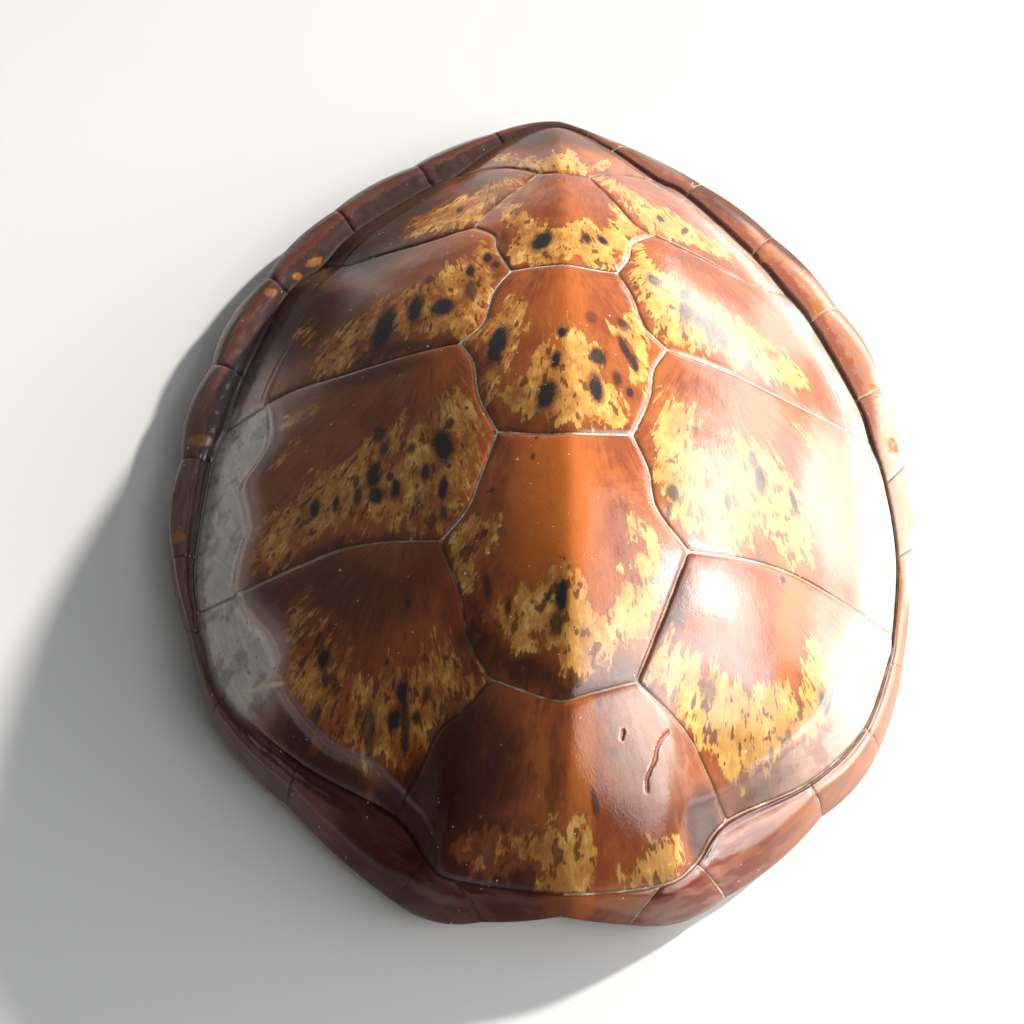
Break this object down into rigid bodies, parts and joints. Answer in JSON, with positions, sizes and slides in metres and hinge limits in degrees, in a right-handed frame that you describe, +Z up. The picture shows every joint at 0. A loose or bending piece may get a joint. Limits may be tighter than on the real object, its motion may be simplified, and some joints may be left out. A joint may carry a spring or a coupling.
{
  "type": "sea turtle shell",
  "caption": "Domed, heart-shaped carapace of a young sea turtle with large polished scutes, a turned-up rim of marginal scutes and an open, hollow underside.",
  "frame": {"origin": "on the resting plane, under the middle of the bounding box", "axes": "+X towards the right of a viewer at the neck end, +Y along the midline from the neck to the tail, +Z up through the dome"},
  "size_m": [0.4072, 0.503, 0.1287],
  "materials": {
    "scutes": "varnished horn with amber flames"
  },
  "bodies": {
    "root": {"carapace": "scutes"}
  },
  "joints": []
}
